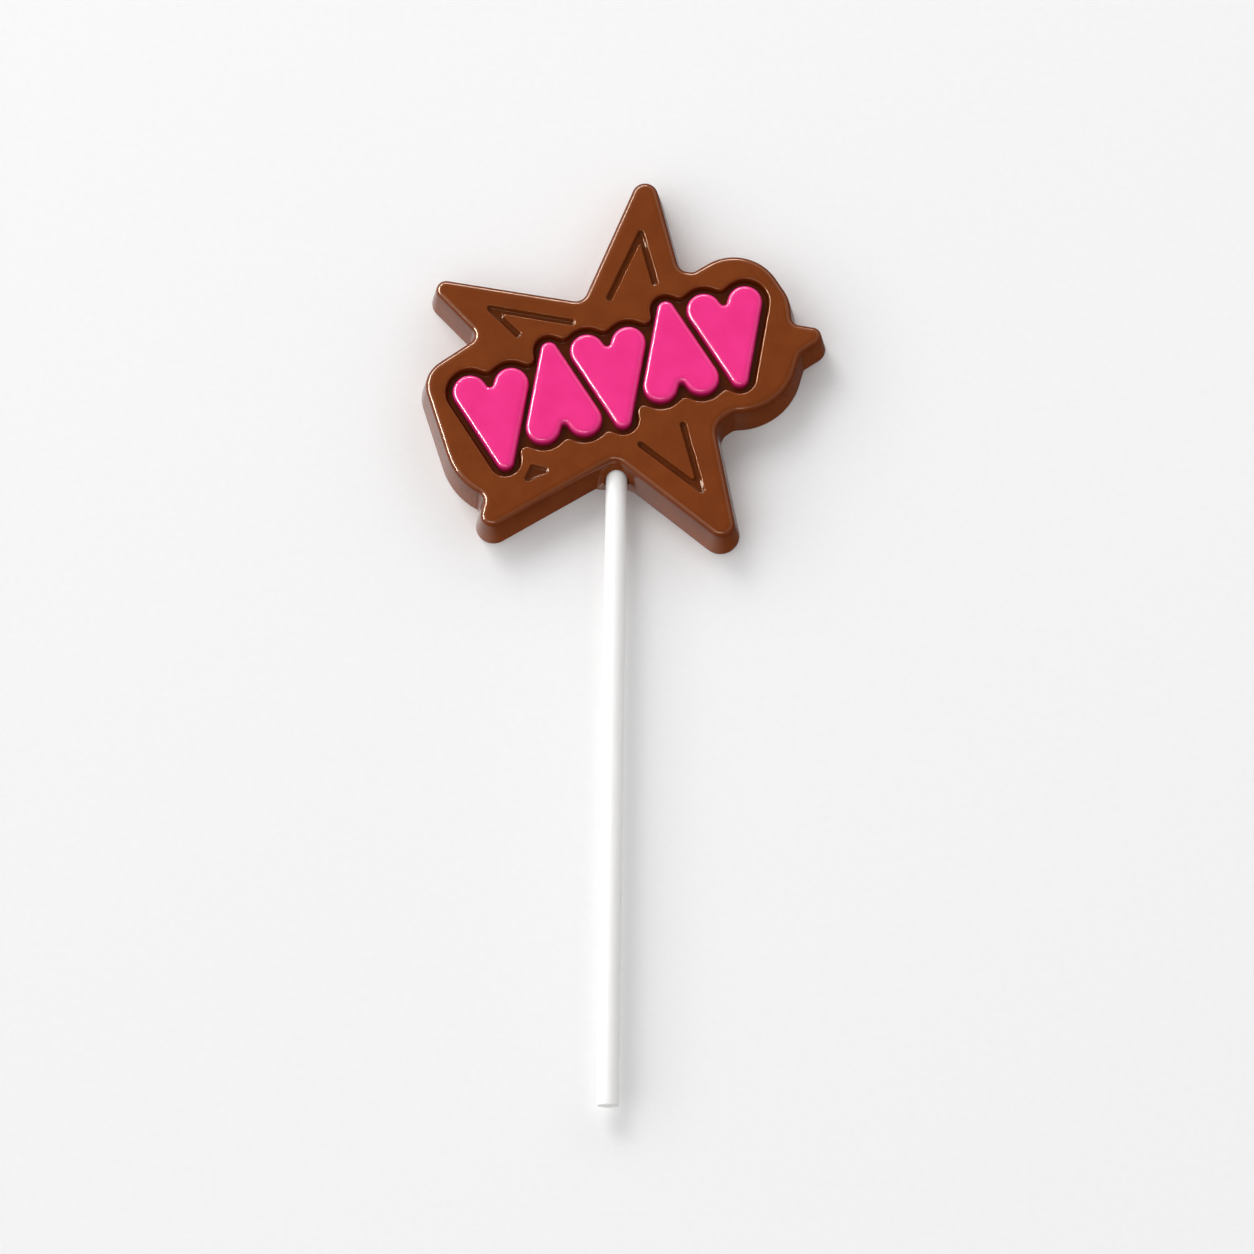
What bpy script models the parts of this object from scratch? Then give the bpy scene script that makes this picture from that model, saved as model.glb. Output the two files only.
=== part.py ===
"""A milk chocolate lollipop: a five-armed star with a row of pink hearts sunk across it, on a paper stick.

It lies on its flat back. The origin is the star's centre on the back face, the stick runs along -Y
and the moulded face looks up along +Z. Lengths are written in millimetres, angles in degrees, and the
meshes are made in metres.

Every outline is a belt pulled round circles, each given as x, y and radius, counter-clockwise. The
belt passes outside a circle with a positive radius, and a negative radius rounds an inner corner.
"""

import math

import bmesh
import bpy
from mathutils import Vector
from mathutils.geometry import tessellate_polygon

MM = 0.001
GAP = 0.3
ARC_STEP = 20.0
CORNER_CLEARANCE = 0.1

# The chocolate head: a slab with drafted sides and a rounded upper edge. The outline is its back face.
HEAD_HEIGHT = 8.8
HEAD_DRAFT = 8.0
HEAD_ROUNDING = 1.1
HEAD_OUTLINE = [
    (4.6, 34.3, 3.5),  # top arm
    (-8.2, 15.4, -1.2),
    (-32.4, 15.0, 2.9),  # upper left arm
    (-28.6, 6.1, -0.6),
    (-30.3, -3.8, 6.5),  # left end of the raised band
    (-19.3, -13.3, 13.9),
    (-26.6, -26.2, -1.0),
    (-22.8, -28.7, 3.3),  # lower left arm
    (-0.4, -20.8, -1.5),  # crotch that holds the stick
    (19.4, -29.9, 3.6),  # lower right arm
    (21.9, -12.3, -2.4),
    (22.5, -11.4, -2.0),
    (22.1, 3.0, 12.4),  # right end of the band, below the right arm
    (35.8, 1.9, -1.1),
    (36.1, 6.8, 2.8),  # right arm
    (33.9, 10.6, -0.6),
    (25.1, 11.8, 8.0),  # right end of the band, above the right arm
    (21.5, 12.9, 10.4),
    (13.4, 20.8, -0.6),
    (12.9, 21.4, -1.1),
]

# The hearts: one outline with its tip down, set in a row that climbs to the right. Every other one is
# turned tip up and sits a little further along.
HEART_COUNT = 5
HEART_PITCH = 11.6
ROW_CENTRE = (-0.8, -1.5)
ROW_SLOPE = 21.0
TURNED_SHIFT = 0.6
HEART_LEAN = 12.0
HEART_LOBE = (3.9, 5.6, 3.4)
HEART_TIP = (0.0, -8.8, 1.8)
HEART_NOTCH_RADIUS = 0.5
HEART_THICKNESS = 2.0
HEART_DRAFT = 6.0
HEART_ROUNDING = 1.2

# The recess that the hearts sit in, which follows their row, with a softened rim.
RECESS_DEPTH = 1.8
RECESS_MARGIN = 1.2
RECESS_DRAFT = 10.0
RECESS_RIM = 0.4
CUSP_RADIUS = 1.2

# The grooves pressed into the arms: bent strokes given by their middle line, and one small pit.
# Their section is a list of insets from the stroke's edge, each with a share of the depth.
GROOVE_WIDTH = 1.3
GROOVE_DEPTH = 0.8
GROOVE_SECTION = [(-0.1, 0.0), (0.1, 0.25), (0.35, 0.85), (0.5, 1.0)]
CREASE_RADIUS = 0.3
CHEVRONS = [
    ((-1.8, 13.6), (3.9, 26.4), (6.6, 16.8)),  # top arm
    ((-18.8, 6.2), (-24.0, 11.2), (-8.8, 8.7)),  # upper left arm
    ((4.4, -15.0), (15.7, -23.6), (12.2, -11.1)),  # lower right arm
]
PIT = [(-16.4, -21.8, 0.6), (-13.2, -20.2, 0.6), (-15.5, -19.7, 0.6)]

# The paper stick, and the boss at the crotch that takes it.
STICK_RADIUS = 2.0
STICK_LENGTH = 150.0
STICK_END = -137.7
STICK_LEVEL = 4.3
STICK_CHAMFER = 0.25
STICK_SIDES = 24
BORE_OVERRUN = 5.0
BOSS_RADIUS = 2.9
BOSS_FOOT = 3.4
BOSS_FRONT = -21.3
BOSS_LEAN = 40.0
BOSS_ROOT = -12.0
BOSS_ARCH_STEPS = 12


def belt(circles, inset=0.0):
    """Points of the belt round the circles, moved inwards by the inset."""
    headings = []
    for (ax, ay, ar), (bx, by, br) in zip(circles, circles[1:] + circles[:1]):
        reach = math.hypot(bx - ax, by - ay)
        slant = max(-1.0, min(1.0, (ar - br) / reach))
        headings.append(math.atan2(by - ay, bx - ax) + math.asin(slant))
    points = []
    for (x, y, radius), before, after in zip(circles, headings[-1:] + headings, headings):
        turn = (after - before + math.pi) % math.tau - math.pi
        steps = max(1, round(abs(math.degrees(turn)) / ARC_STEP))
        for i in range(steps + 1):
            angle = before + turn * i / steps
            points.append((x + (radius - inset) * math.sin(angle), y - (radius - inset) * math.cos(angle)))
    return points


def sweep(mesh, circles, levels):
    """Joins the belt at each level, an inset and a height, to the next, and returns the first and last."""
    rings = []
    for inset, z in levels:
        rings.append([mesh.verts.new((x * MM, y * MM, z * MM)) for x, y in belt(circles, inset)])
    for lower, upper in zip(rings, rings[1:]):
        for i in range(len(lower)):
            mesh.faces.new((lower[i - 1], lower[i], upper[i], upper[i - 1]))
    return rings[0], rings[-1]


def cap(mesh, *rings):
    """Fills the first ring, less the others inside it, with triangles."""
    vertices = [vertex for ring in rings for vertex in ring]
    for triangle in tessellate_polygon([[vertex.co for vertex in ring] for ring in rings]):
        mesh.faces.new([vertices[i] for i in triangle])


def rounded_wall(bottom, top, draft, rounding, steps=3):
    """Levels of a drafted wall that ends in a rounded upper edge."""
    lean = math.radians(draft)
    shoulder = top - rounding * (1 - math.sin(lean))
    inset = (shoulder - bottom) * math.tan(lean)
    levels = [(0.0, bottom), (inset, shoulder)]
    for i in range(1, steps + 1):
        angle = lean + (math.pi / 2 - lean) * i / steps
        drop = rounding * (1 - math.sin(angle))
        levels.append((inset + rounding * (math.cos(lean) - math.cos(angle)), top - drop))
    return levels


def hollow_wall(top, depth, draft, rim, steps=2):
    """Levels of a hollow's side, from a rounded rim down to its floor."""
    levels = []
    for i in range(steps + 1):
        angle = math.pi / 2 * i / steps
        levels.append((-rim * (1 - math.sin(angle)), top - rim * (1 - math.cos(angle))))
    levels.append(((depth - rim) * math.tan(math.radians(draft)), top - depth))
    return levels


def material(name, colour, roughness):
    made = bpy.data.materials.new(name)
    made.use_nodes = True
    shader = made.node_tree.nodes["Principled BSDF"]
    shader.inputs["Base Color"].default_value = (*colour, 1.0)
    shader.inputs["Roughness"].default_value = roughness
    shader.inputs["Metallic"].default_value = 0.0
    made.diffuse_color = (*colour, 1.0)
    return made


def solid(name, mesh, surface):
    """Turns the bmesh into an object of one material, with its faces pointing out."""
    bmesh.ops.recalc_face_normals(mesh, faces=mesh.faces)
    data = bpy.data.meshes.new(name)
    mesh.to_mesh(data)
    mesh.free()
    if surface:
        data.materials.append(surface)
    made = bpy.data.objects.new(name, data)
    bpy.context.scene.collection.objects.link(made)
    return made


def combine(target, tool, operation):
    """Adds the tool to the target, or cuts it away, and keeps it out of the picture."""
    tool.hide_render = True
    tool.display_type = "WIRE"
    boolean = target.modifiers.new(tool.name, "BOOLEAN")
    boolean.operation = operation
    boolean.object = tool


def turned(circles, angle, centre, growth=0.0):
    """The circles turned about the origin, moved to the centre and grown by an amount."""
    cosine, sine = math.cos(math.radians(angle)), math.sin(math.radians(angle))
    return [
        (centre[0] + x * cosine - y * sine, centre[1] + x * sine + y * cosine, radius + growth)
        for x, y, radius in circles
    ]


def heart_poses():
    """Centre and turn of each heart along the row."""
    poses = []
    for i in range(HEART_COUNT):
        along = (i - (HEART_COUNT - 1) / 2) * HEART_PITCH + TURNED_SHIFT * (i % 2)
        centre = (
            ROW_CENTRE[0] + along * math.cos(math.radians(ROW_SLOPE)),
            ROW_CENTRE[1] + along * math.sin(math.radians(ROW_SLOPE)),
        )
        poses.append((centre, HEART_LEAN + 180.0 * (i % 2)))
    return poses


def inner_corner(first, second, radius):
    """The circle that rounds the inner corner between two circles, just clear of both."""
    (ax, ay, ar), (bx, by, br) = first, second
    reach = math.hypot(bx - ax, by - ay)
    to_first, to_second = ar + radius + CORNER_CLEARANCE, br + radius + CORNER_CLEARANCE
    along = (reach**2 + to_first**2 - to_second**2) / (2 * reach)
    aside = math.sqrt(max(0.0, to_first**2 - along**2))
    ux, uy = (bx - ax) / reach, (by - ay) / reach
    return (ax + ux * along + uy * aside, ay + uy * along - ux * aside, -radius)


def heart_outline():
    """Tip, right lobe, notch and left lobe."""
    left = (-HEART_LOBE[0], *HEART_LOBE[1:])
    return [HEART_TIP, HEART_LOBE, inner_corner(HEART_LOBE, left, HEART_NOTCH_RADIUS), left]


def recess_outline():
    """The belt round the row of hearts, with a rounded inner corner wherever two circles meet."""
    upper, lower = [], []
    for centre, turn in heart_poses():
        tip, right, _, left = turned(heart_outline(), turn, centre, RECESS_MARGIN)
        if turn < 180.0:
            upper += [left, right]
            lower += [tip]
        else:
            upper += [tip]
            lower += [right, left]
    around = upper[::-1] + lower
    ends = (len(upper) - 1, len(around) - 1)
    outline = []
    for i, circle in enumerate(around):
        outline.append(circle)
        if i not in ends:
            outline.append(inner_corner(circle, around[i + 1], CUSP_RADIUS))
    return outline


def chevron_outline(start, bend, end):
    """The belt round a bent stroke of the grooves' width."""
    radius = GROOVE_WIDTH / 2
    start, bend, end = Vector(start), Vector(bend), Vector(end)
    left, right = (start - bend).normalized(), (end - bend).normalized()
    if left.cross(right) < 0:
        start, end = end, start
        left, right = right, left
    spread = math.sin(left.angle(right) / 2)
    inner = bend + (left + right).normalized() * (radius + CREASE_RADIUS) / spread
    return [(*bend, radius), (*start, radius), (*inner, -CREASE_RADIUS), (*end, radius)]


def head():
    """The slab with its recess and grooves."""
    mesh = bmesh.new()
    base, edge = sweep(
        mesh, HEAD_OUTLINE, rounded_wall(0.0, HEAD_HEIGHT, HEAD_DRAFT, HEAD_ROUNDING)
    )
    recess_levels = hollow_wall(HEAD_HEIGHT, RECESS_DEPTH, RECESS_DRAFT, RECESS_RIM)
    groove_levels = [(inset, HEAD_HEIGHT - share * GROOVE_DEPTH) for inset, share in GROOVE_SECTION]
    hollows = [(recess_outline(), recess_levels)]
    hollows += [(chevron_outline(*stroke), groove_levels) for stroke in CHEVRONS]
    hollows += [(PIT, groove_levels)]
    rims = []
    for circles, levels in hollows:
        rim, floor = sweep(mesh, circles, levels)
        cap(mesh, floor)
        rims.append(rim)
    cap(mesh, edge, *rims)
    cap(mesh, base)
    return solid("chocolate_head", mesh, material("milk_chocolate", (0.195, 0.055, 0.017), 0.35))


def boss():
    """The arched boss round the stick, upright at the foot and leaning back over the stick."""
    arch = [(-BOSS_FOOT, 0.0)]
    for i in range(BOSS_ARCH_STEPS + 1):
        angle = math.pi - math.pi * i / BOSS_ARCH_STEPS
        arch.append((BOSS_RADIUS * math.cos(angle), STICK_LEVEL + BOSS_RADIUS * math.sin(angle)))
    arch.append((BOSS_FOOT, 0.0))
    mesh = bmesh.new()
    front, root = [], []
    for x, z in arch:
        lean = max(0.0, z - STICK_LEVEL) * math.tan(math.radians(BOSS_LEAN))
        front.append(mesh.verts.new((x * MM, (BOSS_FRONT + lean) * MM, z * MM)))
        root.append(mesh.verts.new((x * MM, BOSS_ROOT * MM, z * MM)))
    for i in range(len(arch)):
        mesh.faces.new((front[i - 1], front[i], root[i], root[i - 1]))
    mesh.faces.new(front[:2] + front[-2:])
    mesh.faces.new(front[1:-1])
    mesh.faces.new(root)
    return solid("boss", mesh, None)


def rod(name, radius, start, end, surface):
    """A round rod along Y, at the stick's level, with chamfered ends."""
    mesh = bmesh.new()
    stations = [
        (start, radius - STICK_CHAMFER),
        (start + STICK_CHAMFER, radius),
        (end - STICK_CHAMFER, radius),
        (end, radius - STICK_CHAMFER),
    ]
    rings = []
    for y, reach in stations:
        ring = []
        for i in range(STICK_SIDES):
            angle = math.tau * i / STICK_SIDES
            x, z = reach * math.cos(angle), STICK_LEVEL + reach * math.sin(angle)
            ring.append(mesh.verts.new((x * MM, y * MM, z * MM)))
        rings.append(ring)
    for near, far in zip(rings, rings[1:]):
        for i in range(STICK_SIDES):
            mesh.faces.new((near[i - 1], near[i], far[i], far[i - 1]))
    mesh.faces.new(rings[0])
    mesh.faces.new(rings[-1])
    return solid(name, mesh, surface)


def hearts():
    """The row of hearts, which share one mesh."""
    mesh = bmesh.new()
    levels = rounded_wall(0.0, HEART_THICKNESS, HEART_DRAFT, HEART_ROUNDING)
    base, edge = sweep(mesh, heart_outline(), levels)
    cap(mesh, edge)
    cap(mesh, base)
    pink = material("pink_chocolate", (0.93, 0.035, 0.26), 0.25)
    first = solid("pink_heart_1", mesh, pink)
    floor = HEAD_HEIGHT - RECESS_DEPTH + GAP
    for i, (centre, turn) in enumerate(heart_poses()):
        heart = first if i == 0 else bpy.data.objects.new(f"pink_heart_{i + 1}", first.data)
        if i > 0:
            bpy.context.scene.collection.objects.link(heart)
        heart.location = Vector((*centre, floor)) * MM
        heart.rotation_euler.z = math.radians(turn)


def lollipop():
    for old in list(bpy.data.objects):
        bpy.data.objects.remove(old)
    star = head()
    combine(star, boss(), "UNION")
    inner_end = STICK_END + STICK_LENGTH
    bore = rod("bore", STICK_RADIUS + GAP, BOSS_FRONT - BORE_OVERRUN, inner_end + GAP, None)
    combine(star, bore, "DIFFERENCE")
    rod("stick", STICK_RADIUS, STICK_END, inner_end, material("stick_paper", (0.86, 0.84, 0.81), 0.6))
    hearts()


lollipop()
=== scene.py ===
import math

import bmesh
import bpy
from mathutils import Matrix, Vector
from mathutils.geometry import delaunay_2d_cdt


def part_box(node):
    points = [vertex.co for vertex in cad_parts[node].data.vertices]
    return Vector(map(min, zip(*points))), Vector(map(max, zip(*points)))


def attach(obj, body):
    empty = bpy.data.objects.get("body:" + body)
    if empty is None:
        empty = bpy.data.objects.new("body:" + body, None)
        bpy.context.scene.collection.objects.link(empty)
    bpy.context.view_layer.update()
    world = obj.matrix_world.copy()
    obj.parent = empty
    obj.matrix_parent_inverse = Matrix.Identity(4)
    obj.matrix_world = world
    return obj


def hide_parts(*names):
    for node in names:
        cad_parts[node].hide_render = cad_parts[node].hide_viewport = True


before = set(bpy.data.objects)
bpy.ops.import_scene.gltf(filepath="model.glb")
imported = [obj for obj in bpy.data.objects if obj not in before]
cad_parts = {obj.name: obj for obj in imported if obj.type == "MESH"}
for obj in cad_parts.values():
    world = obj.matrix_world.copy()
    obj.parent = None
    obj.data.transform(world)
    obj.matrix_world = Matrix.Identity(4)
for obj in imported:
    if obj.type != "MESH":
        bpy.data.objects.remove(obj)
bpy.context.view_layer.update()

# Looks for the chocolate lollipop. It lies on its back, with the star's centre at the origin and the
# stick along -Y. Lengths are written in millimetres and turned to metres where a mesh, a light or the
# camera is made, and angles are in degrees. Outlines are belts pulled round circles, each given as x, y
# and radius, counter-clockwise: the belt passes outside a circle with a positive radius, and a negative
# radius rounds an inner corner. A profile is a list of levels, each an inset from the belt and a height.

MM = 0.001
ARC_STEP = 5.0  # the largest turn between two points of an outline
BEND_STEP = 9.0  # and between two levels of a profile
CORNER_CLEARANCE = 0.1
SUPPORT = 0.06  # the narrow flat strip beside a rounded edge, which keeps the shading of the flat even
RIM_SUPPORT = 0.05
SHARP_ANGLE = 40.0
INSIDE_WITH_HOLES = 2  # delaunay_2d_cdt's number for filling outlines and leaving out those inside them
CAP_WELD = 1e-6

# The chocolate head, whose outline is its back face.
HEAD_HEIGHT = 8.8
HEAD_DRAFT = 8.0
HEAD_FOOT = 0.2
FOOT_BEVEL = 0.3  # a share of the foot
HEAD_BENDS = ((1.25, 71.0), (2.3, 90.0))
WALL_STEP = 0.14
HEAD_OUTLINE = [
    (4.6, 34.3, 3.5),  # top arm
    (-8.2, 15.4, -1.2),
    (-32.4, 15.0, 2.9),  # upper left arm
    (-28.6, 6.1, -0.6),
    (-30.3, -3.8, 6.5),  # left end of the raised band
    (-19.3, -13.3, 13.9),
    (-26.6, -26.2, -1.0),
    (-22.8, -28.7, 3.3),  # lower left arm
    (-0.4, -20.8, -1.5),  # crotch that holds the stick
    (19.4, -29.9, 3.6),  # lower right arm
    (21.9, -12.3, -2.4),
    (22.5, -11.4, -2.0),
    (22.1, 3.0, 12.4),  # right end of the band, below the right arm
    (35.8, 1.9, -1.1),
    (36.1, 6.8, 2.8),  # right arm
    (33.9, 10.6, -0.6),
    (25.1, 11.8, 8.0),  # right end of the band, above the right arm
    (21.5, 12.9, 10.4),
    (13.4, 20.8, -0.6),
    (12.9, 21.4, -1.1),
]
CROTCH = 8

# The boss at the crotch that holds the stick. Its surface is found along rays that fan out from a
# point inside the head.
STICK_LEVEL = 4.3
BOSS_RADIUS = 2.9
BOSS_FOOT = 3.4
BOSS_FRONT = -21.3
BOSS_LEAN = 40.0
BOSS_BLEND = 0.9
BOSS_EDGE = 0.5
FAN_ORIGIN = (-0.3, -13.0)
FAN_HALF_ANGLE = 38.0
FAN_STEP = 0.5
FAN_REACH = 20.0
FAN_HALVINGS = 18

# The row of hearts.
HEART_COUNT = 5
HEART_PITCH = 11.6
ROW_CENTRE = (-0.8, -1.5)
ROW_SLOPE = 21.0
TURNED_SHIFT = 0.6
HEART_LEAN = 12.0
HEART_LOBE = (3.9, 5.6, 3.4)
HEART_TIP = (0.0, -8.8, 1.8)
HEART_NOTCH_RADIUS = 0.5
HEART_TOP = 9.3
HEART_DRAFT = 6.0
HEART_BENDS = ((1.05, 76.0), (2.8, 90.0))
HEART_WALL_STEP = 0.5
HEART_SINK = 0.05

# The recess, the bent grooves and the pit. Each has the inset where its rim starts, and its bends.
RECESS_DEPTH = 1.8
RECESS_MARGIN = 1.2
RECESS_START = -0.6
RECESS_RIM = ((0.9, 108.0), (0.42, 168.0))
RECESS_FLOOR = 0.3
CUSP_RADIUS = 1.2
GROOVE_WIDTH = 1.3
GROOVE_DEPTH = 0.8
GROOVE_START = -0.22
GROOVE_RIM = ((0.20, 152.0),)
GROOVE_FLOOR = 0.22
CREASE_RADIUS = 0.3
CHEVRONS = [
    ((-1.8, 13.6), (3.9, 26.4), (6.6, 16.8)),  # top arm
    ((-18.8, 6.2), (-24.0, 11.2), (-8.8, 8.7)),  # upper left arm
    ((4.4, -15.0), (15.7, -23.6), (12.2, -11.1)),  # lower right arm
]
PIT = [(-16.4, -21.8, 0.6), (-13.2, -20.2, 0.6), (-15.5, -19.7, 0.6)]

# The paper stick, in the head's bore. Its lower end shows the turns of the roll as ridges with gaps
# between them: how deep in the end both lie, and where each ridge starts and ends beyond its gap.
STICK_SIDES = 96
STICK_EDGE = 0.22
EDGE_STEPS = 5
ROLL_TURNS = 6
ROLL_CORE = 0.12  # shares of the stick's radius
ROLL_SPREAD = 0.76
GAP_DEPTH = 0.10
RIDGE_DEPTH = 0.03
RIDGE = (0.09, 0.17)
BORE_GAP = 0.3
BORE_OVERRUN = 5.0

# The camera, fitted to the photograph: it looks at a point on the floor, tilted from straight down.
IMAGE_SIDE = 1254
FOCAL_LENGTH = 4500
SENSOR = 36.0
AIM = (2.287, -47.704, 0.0)
CAMERA_DISTANCE = 833.33
CAMERA_TILT = 15.0
CAMERA_TURN = 0.744
CAMERA_CLIP = (0.05, 20.0)

# The chocolates. Painted light and shade are heights with a tint at each: painted bounce light makes
# the outside lighter low on its walls, painted shade darkens it where the wall rounds over into the
# top, and painted shade darkens the hollows and the foot of each heart. Roughness is a range, and
# gloss is the tint of what the surface mirrors.
CHOCOLATE_IOR = 1.45
OUTSIDE_ROUGHNESS = (0.13, 0.18)
OUTSIDE_GLOSS = (1.0, 0.80, 0.62)
# painted bounce light low on the walls, and painted shade where the wall rounds over into the top
OUTSIDE_PAINTED_LIGHT = (
    (0.5, (1.30, 1.30, 1.30)),
    (6.5, (0.95, 0.95, 0.95)),
    (8.0, (0.86, 0.72, 0.60)),
    (8.7, (1.00, 1.00, 1.00)),
)
HOLLOW_ROUGHNESS = (0.08, 0.12)
HOLLOW_GLOSS = (1.0, 0.72, 0.50)
# painted shade, darkest low in the recess, the grooves and the pit
HOLLOW_PAINTED_SHADE = (
    (7.0, (0.55, 0.42, 0.30)),
    (7.5, (0.50, 0.38, 0.28)),
    (8.1, (0.60, 0.54, 0.40)),
    (8.78, (1.00, 1.00, 1.00)),
)
PINK_ROUGHNESS = (0.09, 0.14)
# painted shade at the foot of each heart, down in the recess
PINK_PAINTED_SHADE = (
    (7.0, (0.30, 0.10, 0.15)),
    (8.3, (0.55, 0.30, 0.40)),
    (9.0, (1.00, 1.00, 1.00)),
)

# The surroundings. A shade is a direction, the range of how far what is seen lies along it, and the
# share of light at each end of that range. The flat top mirrors the patch.
SKY_STRENGTH = 1.33
PATCH = (0.0, 0.26, 0.966)
UPWARDS = (0.0, 0.0, 1.0)
SKY_SHADES = (
    (PATCH, 0.74, 0.88, 1.0, 0.06),  # dim
    (PATCH, 0.90, 0.96, 1.0, 2.2),  # a little less so in its middle
    (UPWARDS, 0.0, 0.45, 0.30, 1.0),  # dimmer low down
    ((0.0, -1.0, 0.0), 0.74, 0.98, 1.0, 0.15),  # and most of all towards the stick's end
    ((0.0, 1.0, 0.0), 0.80, 0.98, 1.0, 0.35),
    ((-0.64, 0.77, 0.0), -0.8, 0.8, 0.50, 1.58),  # brighter to the upper left
)
UNDER_SHADE = ((-1.0, 0.0, -1.0), 0.50, 1.20, 0.12, 1.25)  # below the horizon, mirrored by the walls
UNDER_FADE = (-0.30, 0.0)

# The lights: azimuth from +X towards +Y, angle from straight up, distance and size in metres, and
# radiance. The strips only show as highlights along rounded edges.
KEY_LIGHT = (122.0, 44.0, 2.0, (0.83, 0.83), 5.6)
STRIPS = {
    "left_strip": (172.0, 66.0, 0.9, (0.9, 0.08), 135.0),
    "back_strip": (112.0, 66.0, 0.9, (1.0, 0.07), 60.0),
    "front_strip": (255.0, 42.0, 0.9, (0.7, 0.10), 12.0),
}
FLOOR_HALF = 30.0


def belt(circles, inset=0.0):
    """Points round each circle where the belt, moved inwards by the inset, touches it.

    The belt turns left round a circle with a positive radius, and right round one with a negative.
    """
    headings = []
    for (ax, ay, ar), (bx, by, br) in zip(circles, circles[1:] + circles[:1]):
        reach = math.hypot(bx - ax, by - ay)
        slant = max(-1.0, min(1.0, (ar - br) / reach))
        headings.append(math.atan2(by - ay, bx - ax) + math.asin(slant))
    corners = []
    for (x, y, radius), before, after in zip(circles, headings[-1:] + headings, headings):
        side = math.copysign(1.0, radius)
        turn = side * ((side * (after - before) + math.pi / 2) % math.tau - math.pi / 2)
        steps = max(1, round(abs(math.degrees(turn)) / ARC_STEP))
        corner = []
        for i in range(steps + 1):
            angle = before + turn * i / steps
            corner.append((x + (radius - inset) * math.sin(angle), y - (radius - inset) * math.cos(angle)))
        corners.append(corner)
    return corners


def belt_ring(circles):
    """A function of the inset and height that gives the belt's points."""
    return lambda inset, z: [point for corner in belt(circles, inset) for point in corner]


def turned(circles, angle, centre, growth=0.0):
    """The circles turned about the origin, moved to the centre and grown by an amount."""
    cosine, sine = math.cos(math.radians(angle)), math.sin(math.radians(angle))
    return [
        (centre[0] + x * cosine - y * sine, centre[1] + x * sine + y * cosine, radius + growth)
        for x, y, radius in circles
    ]


def inner_corner(first, second, radius):
    """The circle that rounds the inner corner between two circles, just clear of both."""
    (ax, ay, ar), (bx, by, br) = first, second
    reach = math.hypot(bx - ax, by - ay)
    to_first, to_second = ar + radius + CORNER_CLEARANCE, br + radius + CORNER_CLEARANCE
    along = (reach**2 + to_first**2 - to_second**2) / (2 * reach)
    aside = math.sqrt(max(0.0, to_first**2 - along**2))
    ux, uy = (bx - ax) / reach, (by - ay) / reach
    return (ax + ux * along + uy * aside, ay + uy * along - ux * aside, -radius)


def profile(inset, z, heading, *moves):
    """Levels along a path of moves: "ahead" by a length in steps, or a "bend" of a radius to a heading.

    Headings are in degrees from straight up, and 90 points inwards.
    """
    levels = [(inset, z)]
    heading = math.radians(heading)
    for kind, size, value in moves:
        if kind == "ahead":
            steps = max(1, math.ceil(size / value))
            for i in range(1, steps + 1):
                gone = size * i / steps
                levels.append((inset + gone * math.sin(heading), z + gone * math.cos(heading)))
        else:
            towards = math.radians(value)
            side = math.copysign(size, towards - heading)
            steps = max(1, round(abs(math.degrees(towards - heading)) / BEND_STEP))
            for i in range(1, steps + 1):
                angle = heading + (towards - heading) * i / steps
                across = side * (math.cos(heading) - math.cos(angle))
                levels.append((inset + across, z + side * (math.sin(angle) - math.sin(heading))))
            heading = towards
        inset, z = levels[-1]
    return levels


def rise_of(heading, bends):
    """How far up the bends lead, one after the other, from a heading."""
    rise = 0.0
    for radius, towards in bends:
        change = math.sin(math.radians(towards)) - math.sin(math.radians(heading))
        rise += math.copysign(radius, towards - heading) * change
        heading = towards
    return rise


def wall_profile(bottom, top, draft, bends, step):
    """A drafted wall from the bottom that bends over into a flat top at the given height."""
    straight = (top - bottom - rise_of(draft, bends)) / math.cos(math.radians(draft))
    moves = [("ahead", straight, step)] + [("bend", *bend) for bend in bends]
    return profile(0.0, bottom, draft, *moves, ("ahead", SUPPORT, SUPPORT))


def hollow_profile(start, depth, rim, floor_radius):
    """The side of a hollow, from the flat top over its rim's bends down to its floor."""
    lean = rim[-1][1]
    drop = depth + rise_of(90.0, rim) + rise_of(lean, [(floor_radius, 90.0)])
    straight = -drop / math.cos(math.radians(lean))
    moves = [("ahead", RIM_SUPPORT, RIM_SUPPORT)] + [("bend", *bend) for bend in rim]
    moves += [("ahead", straight, straight), ("bend", floor_radius, 90.0)]
    return profile(start, HEAD_HEIGHT, 90.0, *moves)


def sweep(mesh, ring, levels):
    """Joins the ring at each level to the next, and returns the first and the last ring."""
    rings = []
    for inset, z in levels:
        rings.append([mesh.verts.new((x * MM, y * MM, z * MM)) for x, y in ring(inset, z)])
    for lower, upper in zip(rings, rings[1:]):
        for i in range(len(lower)):
            mesh.faces.new((lower[i - 1], lower[i], upper[i], upper[i - 1]))
    return rings[0], rings[-1]


def cap(mesh, *rings):
    """Fills the first ring, less the others inside it, with triangles."""
    vertices = [vertex for ring in rings for vertex in ring]
    places = [vertex.co.xy / MM for vertex in vertices]
    outlines, start = [], 0
    for ring in rings:
        outlines.append(list(range(start, start + len(ring))))
        start += len(ring)
    _, _, triangles, sources, _, _ = delaunay_2d_cdt(places, [], outlines, INSIDE_WITH_HOLES, CAP_WELD)
    for triangle in triangles:
        mesh.faces.new([vertices[sources[i][0]] for i in triangle])


def finish_mesh(name, mesh, *surfaces):
    """Turns the bmesh into a linked object with these materials."""
    bmesh.ops.recalc_face_normals(mesh, faces=mesh.faces)
    data = bpy.data.meshes.new(name)
    mesh.to_mesh(data)
    mesh.free()
    for surface in surfaces:
        data.materials.append(surface)
    made = bpy.data.objects.new(name, data)
    bpy.context.scene.collection.objects.link(made)
    return made


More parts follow.
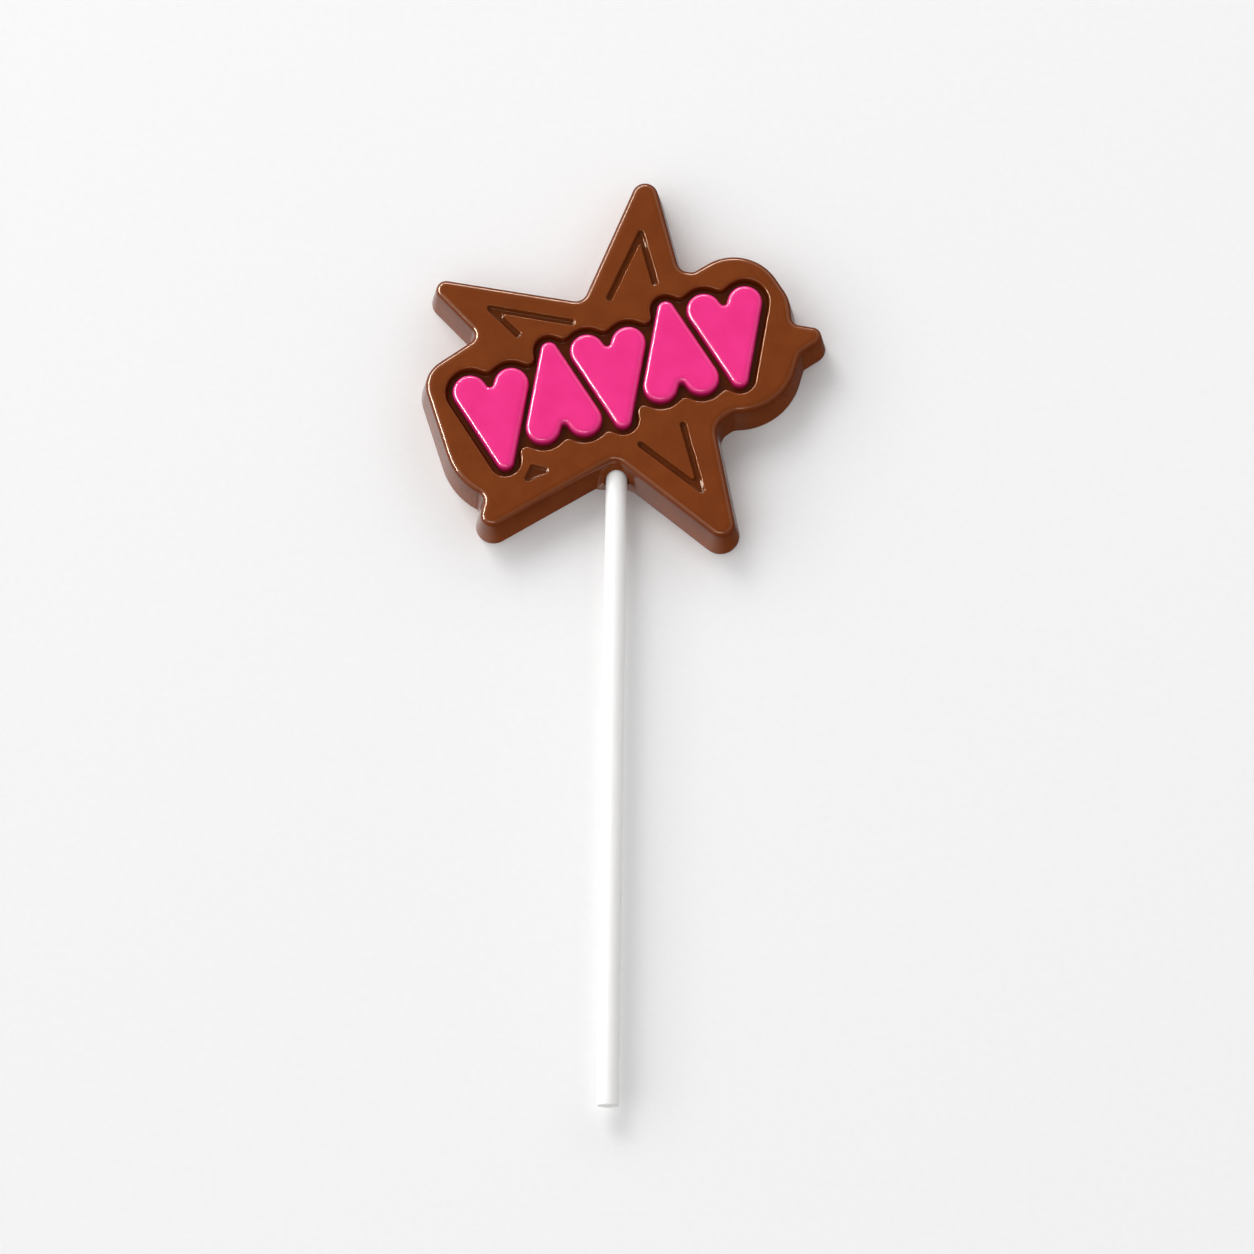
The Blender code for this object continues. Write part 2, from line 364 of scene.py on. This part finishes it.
def shade(piece):
    """Smooth shading but for sharp edges."""
    mesh = bmesh.new()
    mesh.from_mesh(piece.data)
    for face in mesh.faces:
        face.smooth = True
    for edge in mesh.edges:
        edge.smooth = edge.is_manifold and edge.calc_face_angle() < math.radians(SHARP_ANGLE)
    mesh.to_mesh(piece.data)
    mesh.free()


def dress(piece, slot, *nodes):
    """Shades the piece, and sets it in the place of its CAD nodes."""
    shade(piece)
    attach(piece, "root")
    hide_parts(*nodes)


def smooth_min(a, b, reach):
    """The lesser of two distances, blended where they are within reach of each other."""
    overlap = max(0.0, reach - abs(a - b)) / reach
    return min(a, b) - overlap * overlap * reach / 4


def crotch_walls():
    """The directions that the two walls at the crotch face."""
    x, y, _ = HEAD_OUTLINE[CROTCH]
    corner = belt(HEAD_OUTLINE)[CROTCH]
    return [(Vector((x, y)) - Vector(point)).normalized() for point in (corner[0], corner[-1])]


def crotch_distance(x, y, inset, walls):
    """Distance outside the head's two walls at the crotch, negative inside."""
    cx, cy, radius = HEAD_OUTLINE[CROTCH]
    radius -= inset
    (lx, ly), (rx, ry) = walls
    dx, dy = x - cx, y - cy
    if -ly * dx + lx * dy > 0 > -ry * dx + rx * dy:
        return -radius - math.hypot(dx, dy)
    return min(lx * dx + ly * dy, rx * dx + ry * dy) - radius


def boss_distance(x, y, z):
    """Distance outside the arched boss, negative inside."""
    if z > STICK_LEVEL:
        side = math.hypot(x, z - STICK_LEVEL) - BOSS_RADIUS
    else:
        side = abs(x) - BOSS_FOOT + (BOSS_FOOT - BOSS_RADIUS) * z / STICK_LEVEL
    lean = max(0.0, z - STICK_LEVEL) * math.tan(math.radians(BOSS_LEAN))
    return -smooth_min(-side, y - BOSS_FRONT - lean, BOSS_EDGE)


def crotch_points(inset, z, walls):
    """The crotch with its boss, found along each ray of the fan by halving."""
    points = []
    count = round(2 * FAN_HALF_ANGLE / FAN_STEP)
    for i in range(count + 1):
        angle = math.radians(-90 - FAN_HALF_ANGLE + i * FAN_STEP)
        near, far = 0.0, FAN_REACH
        for _ in range(FAN_HALVINGS):
            middle = (near + far) / 2
            x = FAN_ORIGIN[0] + middle * math.cos(angle)
            y = FAN_ORIGIN[1] + middle * math.sin(angle)
            crotch = crotch_distance(x, y, inset, walls)
            if smooth_min(crotch, boss_distance(x, y, z), BOSS_BLEND) < 0:
                near = middle
            else:
                far = middle
        points.append((x, y))
    return points


def head_ring():
    """A function of the inset and height that gives the head's outline, with the boss at its crotch."""
    walls = [tuple(wall) for wall in crotch_walls()]

    def ring(inset, z):
        corners = belt(HEAD_OUTLINE, inset)
        corners[CROTCH] = crotch_points(inset, z, walls)
        return [point for corner in corners for point in corner]

    return ring


def heart_poses():
    """Centre and turn of each heart along the row."""
    poses = []
    for i in range(HEART_COUNT):
        along = (i - (HEART_COUNT - 1) / 2) * HEART_PITCH + TURNED_SHIFT * (i % 2)
        centre = (
            ROW_CENTRE[0] + along * math.cos(math.radians(ROW_SLOPE)),
            ROW_CENTRE[1] + along * math.sin(math.radians(ROW_SLOPE)),
        )
        poses.append((centre, HEART_LEAN + 180.0 * (i % 2)))
    return poses


def heart_outline():
    """Tip, right lobe, notch and left lobe."""
    left = (-HEART_LOBE[0], *HEART_LOBE[1:])
    return [HEART_TIP, HEART_LOBE, inner_corner(HEART_LOBE, left, HEART_NOTCH_RADIUS), left]


def recess_outline():
    """The belt round the row of hearts, with a rounded inner corner wherever two circles meet."""
    upper, lower = [], []
    for centre, turn in heart_poses():
        tip, right, _, left = turned(heart_outline(), turn, centre, RECESS_MARGIN)
        if turn < 180.0:
            upper += [left, right]
            lower += [tip]
        else:
            upper += [tip]
            lower += [right, left]
    around = upper[::-1] + lower
    ends = (len(upper) - 1, len(around) - 1)
    outline = []
    for i, circle in enumerate(around):
        outline.append(circle)
        if i not in ends:
            outline.append(inner_corner(circle, around[i + 1], CUSP_RADIUS))
    return outline


def chevron_outline(start, bend, end):
    """The belt round a bent stroke of the grooves' width."""
    radius = GROOVE_WIDTH / 2
    start, bend, end = Vector(start), Vector(bend), Vector(end)
    left, right = (start - bend).normalized(), (end - bend).normalized()
    if left.cross(right) < 0:
        start, end = end, start
        left, right = right, left
    spread = math.sin(left.angle(right) / 2)
    inner = bend + (left + right).normalized() * (radius + CREASE_RADIUS) / spread
    return [(*bend, radius), (*start, radius), (*inner, -CREASE_RADIUS), (*end, radius)]


def head_levels():
    """The head's outside, from a small round at its foot up to the flat top."""
    wall = wall_profile(HEAD_FOOT, HEAD_HEIGHT, HEAD_DRAFT, HEAD_BENDS, WALL_STEP)
    foot = [(HEAD_FOOT, 0.0), (HEAD_FOOT * FOOT_BEVEL, HEAD_FOOT * FOOT_BEVEL)]
    return foot + wall


def build_head(outside, inside):
    """The star with its recess, grooves and pit, and the bore for the stick, in two materials."""
    mesh = bmesh.new()
    recess = hollow_profile(RECESS_START, RECESS_DEPTH, RECESS_RIM, RECESS_FLOOR)
    groove = hollow_profile(GROOVE_START, GROOVE_DEPTH, GROOVE_RIM, GROOVE_FLOOR)
    hollows = [(recess_outline(), recess)]
    hollows += [(chevron_outline(*stroke), groove) for stroke in CHEVRONS]
    hollows.append((PIT, groove))
    rims = []
    for circles, levels in hollows:
        rim, floor = sweep(mesh, belt_ring(circles), levels)
        cap(mesh, floor)
        rims.append(rim)
    for face in mesh.faces:
        face.material_index = 1
    base, edge = sweep(mesh, head_ring(), head_levels())
    cap(mesh, edge, *rims)
    cap(mesh, base)
    star = finish_mesh("star_head", mesh, outside, inside)
    cut_bore(star)
    return star


def tube_along(mesh, stations, sides):
    """Closed rings round the stick's axis, each given by its y and radius."""
    rings = []
    for y, radius in stations:
        ring = []
        for i in range(sides):
            angle = math.tau * i / sides
            x, z = radius * math.cos(angle), STICK_LEVEL + radius * math.sin(angle)
            ring.append(mesh.verts.new((x * MM, y * MM, z * MM)))
        rings.append(ring)
    for near, far in zip(rings, rings[1:]):
        for i in range(sides):
            mesh.faces.new((near[i - 1], near[i], far[i], far[i - 1]))
    mesh.faces.new(rings[0])
    mesh.faces.new(rings[-1])


def cut_bore(star):
    """Cuts the round bore that the stick sits in."""
    low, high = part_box("stick")
    radius = (high.x - low.x) / 2 / MM + BORE_GAP
    mesh = bmesh.new()
    tube_along(mesh, [(BOSS_FRONT - BORE_OVERRUN, radius), (high.y / MM + BORE_GAP, radius)], STICK_SIDES)
    cutter = finish_mesh("bore_cutter", mesh)
    modifier = star.modifiers.new("bore", "BOOLEAN")
    modifier.operation = "DIFFERENCE"
    modifier.object = cutter
    graph = bpy.context.evaluated_depsgraph_get()
    cut = bpy.data.meshes.new_from_object(star.evaluated_get(graph))
    star.modifiers.clear()
    star.data = cut
    bpy.data.objects.remove(cutter)


def build_stick(paper):
    """The rolled paper stick, with the ridges and the rounded edge of its lower end."""
    low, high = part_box("stick")
    radius = (high.x - low.x) / 2 / MM
    start, end = low.y / MM, high.y / MM
    stations = []
    for turn in range(ROLL_TURNS):
        gap = radius * (ROLL_CORE + ROLL_SPREAD * turn / ROLL_TURNS)
        stations.append((start + GAP_DEPTH, gap))
        stations += [(start + RIDGE_DEPTH, gap + edge) for edge in RIDGE]
    for i in range(EDGE_STEPS + 1):
        angle = math.radians(90 * i / EDGE_STEPS)
        reach = radius - STICK_EDGE * (1 - math.sin(angle))
        stations.append((start + STICK_EDGE * (1 - math.cos(angle)), reach))
    stations.append((end - STICK_EDGE, radius))
    stations.append((end, radius - STICK_EDGE))
    mesh = bmesh.new()
    tube_along(mesh, stations, STICK_SIDES)
    return finish_mesh("paper_stick", mesh, paper)


def build_heart(name, centre, turn, surface):
    """One heart with its puffed top."""
    outline = turned(heart_outline(), turn, centre)
    bottom = HEAD_HEIGHT - RECESS_DEPTH - HEART_SINK
    side = wall_profile(bottom, HEART_TOP, HEART_DRAFT, HEART_BENDS, HEART_WALL_STEP)
    mesh = bmesh.new()
    base, edge = sweep(mesh, belt_ring(outline), side)
    cap(mesh, edge)
    cap(mesh, base)
    return finish_mesh(name, mesh, surface)


def add(tree, kind, inputs, **properties):
    """Adds a node, sets its properties, and gives each named input a value or a link."""
    made = tree.nodes.new(kind)
    for name, value in properties.items():
        setattr(made, name, value)
    for name, value in inputs.items():
        socket = made.inputs[name]
        if isinstance(value, bpy.types.NodeSocket):
            tree.links.new(value, socket)
        else:
            socket.default_value = value
    return made


def new_material(name):
    """A material with its node tree, its shader and the part's own coordinates, in metres."""
    made = bpy.data.materials.new(name)
    made.use_nodes = True
    tree = made.node_tree
    place = tree.nodes.new("ShaderNodeTexCoord").outputs["Object"]
    return made, tree, tree.nodes["Principled BSDF"], place


def noise(tree, place, size, detail=2.0, rough=0.5):
    """Noise whose patches are about the given size in millimetres."""
    return add(
        tree, "ShaderNodeTexNoise",
        {"Vector": place, "Scale": 1 / (size * MM), "Detail": detail, "Roughness": rough},
    ).outputs["Fac"]


def ramp(tree, factor, *stops):
    """Colours along a factor, each stop a position and a colour."""
    made = add(tree, "ShaderNodeValToRGB", {"Fac": factor})
    elements = made.color_ramp.elements
    for element, (position, colour) in zip(elements, (stops[0], stops[-1])):
        element.position, element.color = position, (*colour, 1.0)
    for position, colour in stops[1:-1]:
        elements.new(position).color = (*colour, 1.0)
    return made.outputs["Color"]


def spread(tree, factor, low, high):
    """The factor from a quarter to three quarters mapped between two values."""
    return add(
        tree, "ShaderNodeMapRange",
        {"Value": factor, "From Min": 0.25, "From Max": 0.75, "To Min": low, "To Max": high},
    ).outputs["Result"]


def bump(tree, height, depth, normal=None):
    """A normal raised by a height, whose full range is the depth in millimetres."""
    inputs = {"Height": height, "Distance": depth * MM, "Strength": 1.0}
    if normal:
        inputs["Normal"] = normal
    return add(tree, "ShaderNodeBump", inputs).outputs["Normal"]


def graded(tree, value, low, high, at_low, at_high):
    """The value mapped smoothly from one range to another, and held at its ends."""
    return add(
        tree, "ShaderNodeMapRange",
        {"Value": value, "From Min": low, "From Max": high, "To Min": at_low, "To Max": at_high},
        interpolation_type="SMOOTHSTEP",
    ).outputs["Result"]


def multiplied(tree, first, second):
    """The product of two numbers."""
    return add(tree, "ShaderNodeMath", {0: first, 1: second}, operation="MULTIPLY").outputs["Value"]


def painted_by_height(tree, colour, place, painted_light_and_shade):
    """The colour times a painted tint of light and shade that goes with the height."""
    height = add(tree, "ShaderNodeSeparateXYZ", {"Vector": place}).outputs["Z"]
    level = add(tree, "ShaderNodeMath", {0: height, 1: HEART_TOP * MM}, operation="DIVIDE").outputs["Value"]
    tint = ramp(tree, level, *((z / HEART_TOP, share) for z, share in painted_light_and_shade))
    product = add(tree, "ShaderNodeVectorMath", {0: colour, 1: tint}, operation="MULTIPLY")
    return product.outputs["Vector"]


def milk_chocolate(name, painted_light_and_shade, roughness, gloss):
    """Satin milk chocolate, faintly mottled, with the soft waviness of a moulded face, and painted light
    and shade by height.
    """
    made, tree, shader, place = new_material(name)
    clouds = noise(tree, place, 5.0, 4.0, 0.6)
    colour = ramp(
        tree, clouds,
        (0.30, (0.164, 0.0340, 0.0057)),
        (0.50, (0.182, 0.0387, 0.0065)),
        (0.70, (0.200, 0.0435, 0.0075)),
    )
    tree.links.new(painted_by_height(tree, colour, place, painted_light_and_shade), shader.inputs["Base Color"])
    tree.links.new(spread(tree, noise(tree, place, 3.0), *roughness), shader.inputs["Roughness"])
    waves = bump(tree, noise(tree, place, 6.0, 1.0), 0.012)
    grain = bump(tree, noise(tree, place, 0.5, 1.0), 0.001, waves)
    tree.links.new(grain, shader.inputs["Normal"])
    shader.inputs["IOR"].default_value = CHOCOLATE_IOR
    shader.inputs["Specular Tint"].default_value = (*gloss, 1.0)
    return made


def pink_chocolate():
    """Smooth glossy coloured chocolate, with painted shade that darkens the foot of each heart."""
    made, tree, shader, place = new_material("pink_chocolate_look")
    clouds = noise(tree, place, 5.0, 2.0)
    colour = ramp(
        tree, clouds,
        (0.30, (0.86, 0.028, 0.232)),
        (0.70, (0.92, 0.036, 0.262)),
    )
    tree.links.new(painted_by_height(tree, colour, place, PINK_PAINTED_SHADE), shader.inputs["Base Color"])
    tree.links.new(spread(tree, noise(tree, place, 2.0), *PINK_ROUGHNESS), shader.inputs["Roughness"])
    waves = bump(tree, noise(tree, place, 4.0, 1.0), 0.02)
    grain = bump(tree, noise(tree, place, 0.5, 1.0), 0.001, waves)
    tree.links.new(grain, shader.inputs["Normal"])
    shader.inputs["IOR"].default_value = CHOCOLATE_IOR
    return made


def stick_paper():
    """Tightly rolled white paper, with long faint fibres along the stick."""
    made, tree, shader, place = new_material("stick_paper_look")
    stretched = add(tree, "ShaderNodeVectorMath", {0: place, 1: (1.0, 0.05, 1.0)}, operation="MULTIPLY")
    fibres = noise(tree, stretched.outputs["Vector"], 0.3, 3.0, 0.6)
    colour = ramp(
        tree, fibres,
        (0.30, (0.895, 0.885, 0.870)),
        (0.70, (0.945, 0.940, 0.930)),
    )
    tree.links.new(colour, shader.inputs["Base Color"])
    tree.links.new(spread(tree, fibres, 0.50, 0.62), shader.inputs["Roughness"])
    tree.links.new(bump(tree, fibres, 0.012), shader.inputs["Normal"])
    return made


def floor_paint():
    """A plain pale matt floor."""
    made, tree, shader, place = new_material("pale_floor")
    grain = noise(tree, place, 1.2, 3.0)
    colour = ramp(
        tree, grain,
        (0.30, (0.878, 0.874, 0.875)),
        (0.70, (0.892, 0.889, 0.890)),
    )
    tree.links.new(colour, shader.inputs["Base Color"])
    shader.inputs["Roughness"].default_value = 0.9
    shader.inputs["Specular IOR Level"].default_value = 0.2
    return made


def build_floor():
    """A floor that runs past the edges of the picture, and that the chocolate doesn't mirror."""
    mesh = bmesh.new()
    bmesh.ops.create_grid(mesh, x_segments=1, y_segments=1, size=FLOOR_HALF)
    floor = finish_mesh("floor", mesh, floor_paint())
    floor.visible_glossy = False


def build_world():
    """Soft studio surroundings, whose brightness goes with the direction."""
    world = bpy.data.worlds.new("studio")
    world.use_nodes = True
    bpy.context.scene.world = world
    tree = world.node_tree
    direction = tree.nodes.new("ShaderNodeTexCoord").outputs["Generated"]

    def shade_along(way, *limits):
        along = add(tree, "ShaderNodeVectorMath", {0: direction, 1: way}, operation="DOT_PRODUCT")
        return graded(tree, along.outputs["Value"], *limits)

    under = shade_along(*UNDER_SHADE)
    strength = multiplied(tree, SKY_STRENGTH, shade_along(UPWARDS, *UNDER_FADE, under, 1.0))
    for sky_shade in SKY_SHADES:
        strength = multiplied(tree, strength, shade_along(*sky_shade))
    tree.links.new(strength, tree.nodes["Background"].inputs["Strength"])
    tree.nodes["Background"].inputs["Color"].default_value = (1.0, 1.0, 1.0, 1.0)


def area_light(name, azimuth, zenith, distance, size, radiance):
    """A square or oblong light that faces the star, out of the camera's sight."""
    data = bpy.data.lights.new(name, "AREA")
    data.shape = "RECTANGLE"
    data.size, data.size_y = size
    data.energy = radiance * math.pi * size[0] * size[1]
    light = bpy.data.objects.new(name, data)
    bpy.context.scene.collection.objects.link(light)
    around, down = math.radians(azimuth), math.radians(zenith)
    aside = math.sin(down)
    towards = Vector((aside * math.cos(around), aside * math.sin(around), math.cos(down)))
    light.location = towards * distance
    light.rotation_euler = towards.to_track_quat("Z", "Y").to_euler()
    light.visible_camera = False
    return light


def build_lights():
    """The soft key light, left out of reflections, and the strips, left out of diffuse light."""
    area_light("key", *KEY_LIGHT).visible_glossy = False
    for name, strip in STRIPS.items():
        area_light(name, *strip).visible_diffuse = False


def build_camera():
    """The camera at the photograph's distance and angle."""
    data = bpy.data.cameras.new("camera")
    data.sensor_width = SENSOR
    data.lens = FOCAL_LENGTH / IMAGE_SIDE * SENSOR
    data.clip_start, data.clip_end = CAMERA_CLIP
    camera = bpy.data.objects.new("camera", data)
    bpy.context.scene.collection.objects.link(camera)
    aim = Matrix.Translation(Vector(AIM) * MM)
    turn = Matrix.Rotation(math.radians(CAMERA_TURN), 4, "Z")
    tilt = Matrix.Rotation(math.radians(CAMERA_TILT), 4, "X")
    back = Matrix.Translation((0, 0, CAMERA_DISTANCE * MM))
    camera.matrix_world = aim @ turn @ tilt @ back
    bpy.context.scene.camera = camera


def main():
    """The stage and lights, then each piece in the place of its CAD node."""
    build_camera()
    build_world()
    build_lights()
    build_floor()
    # one chocolate twice: the outside with painted bounce light and shade, the hollows with painted shade
    outside = milk_chocolate("milk_chocolate_look", OUTSIDE_PAINTED_LIGHT, OUTSIDE_ROUGHNESS, OUTSIDE_GLOSS)
    inside = milk_chocolate("shaded_hollow_chocolate_look", HOLLOW_PAINTED_SHADE, HOLLOW_ROUGHNESS, HOLLOW_GLOSS)
    dress(build_head(outside, inside), "milk_chocolate", "chocolate_head")
    dress(build_stick(stick_paper()), "stick_paper", "stick")
    pink = pink_chocolate()
    for i, (centre, turn) in enumerate(heart_poses()):
        heart = build_heart(f"puffed_heart_{i + 1}", centre, turn, pink)
        dress(heart, "pink_chocolate", f"pink_heart_{i + 1}")
    bpy.context.scene.view_settings.view_transform = "Standard"


main()
